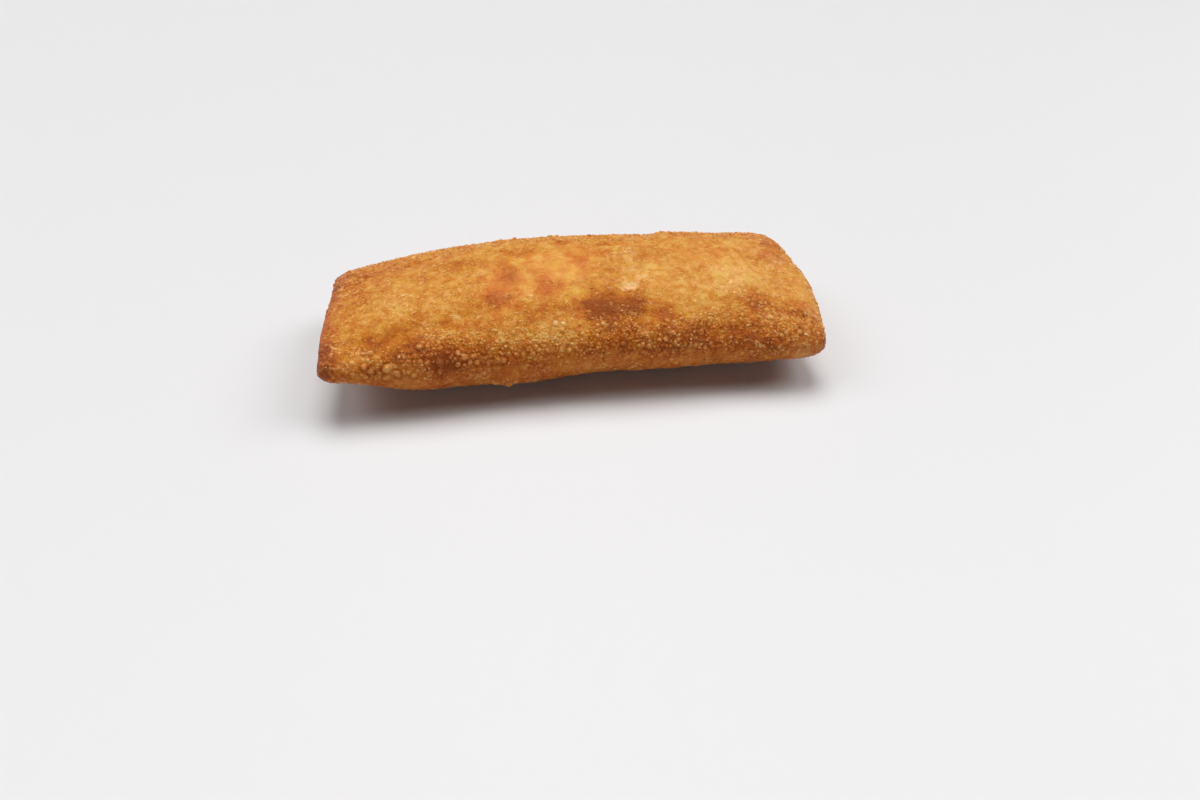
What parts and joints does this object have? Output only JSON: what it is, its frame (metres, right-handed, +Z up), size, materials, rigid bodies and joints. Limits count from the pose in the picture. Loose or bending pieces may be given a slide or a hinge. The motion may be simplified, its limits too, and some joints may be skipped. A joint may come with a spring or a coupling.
{
  "type": "fried spring roll",
  "caption": "Whole deep fried spring roll: a wheat wrapper folded in at both ends and rolled flat and thick, with a golden blistered crust.",
  "frame": {"origin": "middle of the roll's box, on the surface that it rests on", "axes": "+X along the roll towards its thick end, +Y to its back, +Z up"},
  "size_m": [0.1388, 0.0652, 0.0275],
  "materials": {
    "fried_crust": "golden brown fried wheat dough with small blisters, darker brown patches and a thin oily sheen"
  },
  "bodies": {
    "root": {"spring_roll": "fried_crust"}
  },
  "joints": []
}
